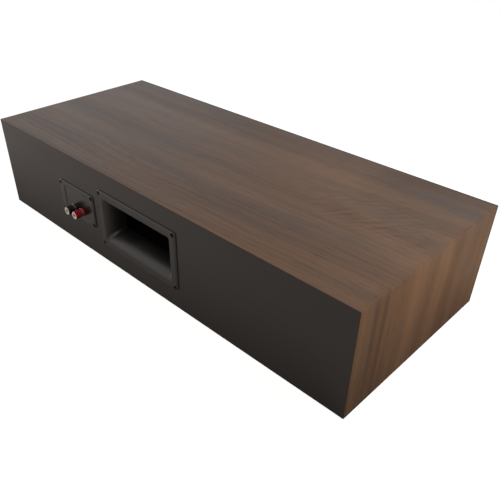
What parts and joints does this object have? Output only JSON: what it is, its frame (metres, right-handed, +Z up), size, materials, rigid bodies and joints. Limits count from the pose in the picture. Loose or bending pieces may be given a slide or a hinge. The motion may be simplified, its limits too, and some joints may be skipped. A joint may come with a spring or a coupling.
{
  "type": "center channel speaker",
  "caption": "Long, low loudspeaker in a wood-look cabinet, with a horn-shaped port and binding posts in the black rear panel, and a horn tweeter among small woofers on the front baffle.",
  "frame": {"origin": "middle of the underside of the cabinet", "axes": "+Z up, +Y out of the rear panel, drivers face -Y, +X along the length towards the terminals"},
  "size_m": [0.67, 0.295, 0.142],
  "materials": {
    "walnut_film": "satin walnut-look film",
    "black_film": "satin black film on board",
    "raw_board": "bare fibre board",
    "fibre_pad": "loose polyester fibre",
    "dark_plastic": "moulded, fine matt grain",
    "duct_black": "matt black board tube",
    "foam": "closed-cell foam",
    "black_screw": "black oxide",
    "plain_steel": "zinc plated",
    "plate_plastic": "satin moulded",
    "black_plastic": "gloss moulded",
    "red_plastic": "clear-tinted gloss",
    "post_metal": "pale gold plate",
    "board_green": "laminate",
    "pale_nylon": "moulded",
    "copper": "enamelled copper wire",
    "yellow_film": "tape wrapped",
    "cement": "matt",
    "lead_sheath": "soft vinyl sheath",
    "dome_metal": "fine satin",
    "ferrite": "matt dark grey",
    "black_casting": "black powder coat",
    "surround_rubber": "soft satin",
    "spider_cloth": "stiffened cloth",
    "cone_film": "fine satin",
    "tab_fibre": "pressed fibre"
  },
  "bodies": {
    "cabinet": {"cabinet_wrap": "walnut_film", "crossover_board": "board_green", "crossover_capacitors": "yellow_film", "crossover_resistors": "cement", "crossover_screws": "plain_steel", "crossover_spacers": "pale_nylon", "crossover_terminal_blocks": "black_plastic", "damping_pads": "fibre_pad", "driver_leads": "lead_sheath", "front_baffle": "black_film", "input_leads": "lead_sheath", "left_brace": "raw_board", "negative_post_collar": "black_plastic", "negative_post_stud": "post_metal", "port_duct": "duct_black", "port_gasket": "foam", "port_horn": "dark_plastic", "port_screws": "black_screw", "positive_post_collar": "red_plastic", "positive_post_stud": "post_metal", "post_back_nuts": "plain_steel", "rear_panel": "black_film", "right_brace": "raw_board", "terminal_gasket": "foam", "terminal_plate": "plate_plastic", "terminal_screws": "black_screw", "tweeter_choke": "copper", "tweeter_diaphragm": "dome_metal", "tweeter_front_plate": "plain_steel", "tweeter_horn": "dark_plastic", "tweeter_horn_screws": "black_screw", "tweeter_magnet": "ferrite", "tweeter_yoke": "plain_steel", "woofer_baskets": "black_casting", "woofer_choke": "copper", "woofer_front_plates": "plain_steel", "woofer_lead_tabs": "tab_fibre", "woofer_magnets": "ferrite", "woofer_screws": "black_screw", "woofer_spiders": "spider_cloth", "woofer_surrounds": "surround_rubber", "woofer_yokes": "plain_steel"},
    "woofer_1_moving": {"woofer_1_cone": "cone_film", "woofer_1_voice_coil": "copper"},
    "woofer_2_moving": {"woofer_2_cone": "cone_film", "woofer_2_voice_coil": "copper"},
    "woofer_3_moving": {"woofer_3_cone": "cone_film", "woofer_3_voice_coil": "copper"},
    "woofer_4_moving": {"woofer_4_cone": "cone_film", "woofer_4_voice_coil": "copper"},
    "negative_clamp": {"negative_clamp_washer": "black_screw"},
    "negative_nut": {"negative_thumb_nut": "black_plastic", "negative_nut_insert": "post_metal"},
    "positive_clamp": {"positive_clamp_washer": "black_screw"},
    "positive_nut": {"positive_thumb_nut": "red_plastic", "positive_nut_insert": "post_metal"}
  },
  "joints": [
    {"name": "woofer_1_travel", "type": "slide", "parent": "cabinet", "child": "woofer_1_moving", "axis": [0, -1, 0], "range_m": [-0.004, 0.004], "stiffness_N_per_m": 1250, "deforming": ["woofer_surrounds", "woofer_spiders"]},
    {"name": "woofer_2_travel", "type": "slide", "parent": "cabinet", "child": "woofer_2_moving", "axis": [0, -1, 0], "range_m": [-0.004, 0.004], "stiffness_N_per_m": 1250, "deforming": ["woofer_surrounds", "woofer_spiders"]},
    {"name": "woofer_3_travel", "type": "slide", "parent": "cabinet", "child": "woofer_3_moving", "axis": [0, -1, 0], "range_m": [-0.004, 0.004], "stiffness_N_per_m": 1250, "deforming": ["woofer_surrounds", "woofer_spiders"]},
    {"name": "woofer_4_travel", "type": "slide", "parent": "cabinet", "child": "woofer_4_moving", "axis": [0, -1, 0], "range_m": [-0.004, 0.004], "stiffness_N_per_m": 1250, "deforming": ["woofer_surrounds", "woofer_spiders"]},
    {"name": "negative_washer_travel", "type": "slide", "parent": "cabinet", "child": "negative_clamp", "axis": [0, 1, 0], "range_m": [0, 0.004]},
    {"name": "negative_nut_turn", "type": "hinge", "parent": "negative_clamp", "child": "negative_nut", "pos_m": [0.145, 0.1452, 0.0598], "axis": [0, 1, 0], "range_deg": [0, 1800]},
    {"name": "positive_washer_travel", "type": "slide", "parent": "cabinet", "child": "positive_clamp", "axis": [0, 1, 0], "range_m": [0, 0.004]},
    {"name": "positive_nut_turn", "type": "hinge", "parent": "positive_clamp", "child": "positive_nut", "pos_m": [0.126, 0.1452, 0.0598], "axis": [0, 1, 0], "range_deg": [0, 1800]}
  ],
  "couplings": [
    {"joint": "negative_nut_turn", "follows": "negative_washer_travel", "rad_per_m": 7854},
    {"joint": "positive_nut_turn", "follows": "positive_washer_travel", "rad_per_m": 7854}
  ]
}
